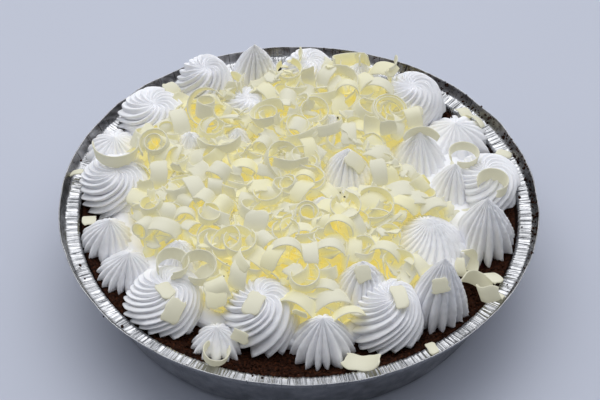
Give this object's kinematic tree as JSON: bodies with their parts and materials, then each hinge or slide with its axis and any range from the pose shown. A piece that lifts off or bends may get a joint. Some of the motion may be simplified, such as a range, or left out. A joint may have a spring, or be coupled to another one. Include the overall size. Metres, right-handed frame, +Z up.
{
  "type": "cheesecake pie",
  "caption": "A round cheesecake pie in a shallow foil tin, with a dark crumb crust, a ring of piped cream and a heap of white chocolate curls.",
  "frame": {"origin": "middle of the tin's flat base, on the surface it stands on", "axes": "+Z up; -Y towards the side seen in the picture; +X to the right in that view"},
  "size_m": [0.232, 0.232, 0.0651],
  "materials": {
    "foil": "thin crimped foil, bright",
    "crumb": "rough dark biscuit crumb",
    "velvet": "moist dark red cake",
    "cream": "smooth piped cream",
    "white_chocolate": "smooth ivory chocolate, slightly waxy"
  },
  "bodies": {
    "root": {"chip_on_east_flange": "white_chocolate", "chip_on_front_rim": "white_chocolate", "chip_on_front_rosette": "white_chocolate", "chip_southeast_rim": "white_chocolate", "cream_east_inner_star": "cream", "cream_east_rosette": "cream", "cream_east_tall_star": "cream", "cream_front_rosette": "cream", "cream_front_small_star": "cream", "cream_front_star": "cream", "cream_inner_east_rosette": "cream", "cream_inner_north_star": "cream", "cream_inner_northeast_star": "cream", "cream_inner_south_star": "cream", "cream_inner_southwest_star": "cream", "cream_north_right_star": "cream", "cream_north_rosette": "cream", "cream_north_tall_star": "cream", "cream_northeast_low_star": "cream", "cream_northeast_rosette": "cream", "cream_northwest_low_rosette": "cream", "cream_northwest_rosette": "cream", "cream_southeast_rosette": "cream", "cream_southeast_tall_star": "cream", "cream_southwest_rosette": "cream", "cream_southwest_star": "cream", "cream_west_low_star": "cream", "cream_west_rosette": "cream", "cream_west_star": "cream", "crust": "crumb", "curl_on_front_rim": "white_chocolate", "curl_on_northeast_flange": "white_chocolate", "curl_on_northeast_star": "white_chocolate", "curl_on_small_star": "white_chocolate", "curl_on_west_lip": "white_chocolate", "curl_on_west_rosette": "white_chocolate", "curl_southeast_bent": "white_chocolate", "curl_southeast_folded": "white_chocolate", "curl_southeast_loop": "white_chocolate", "curl_southeast_square": "white_chocolate", "curls_heap": "white_chocolate", "filling": "velvet", "flake_low_on_southwest_rosette": "white_chocolate", "flake_on_front_rosette": "white_chocolate", "flake_on_north_star": "white_chocolate", "flake_on_south_star": "white_chocolate", "flake_on_southeast_rosette": "white_chocolate", "flake_on_southwest_rosette": "white_chocolate", "flake_on_tall_star": "white_chocolate", "flake_west_crust": "white_chocolate", "foil_tin": "foil", "ring_by_southwest_star": "white_chocolate", "ring_on_east_inner_star": "white_chocolate", "ring_on_east_rosette": "white_chocolate", "ring_on_southwest_star": "white_chocolate"}
  },
  "joints": []
}
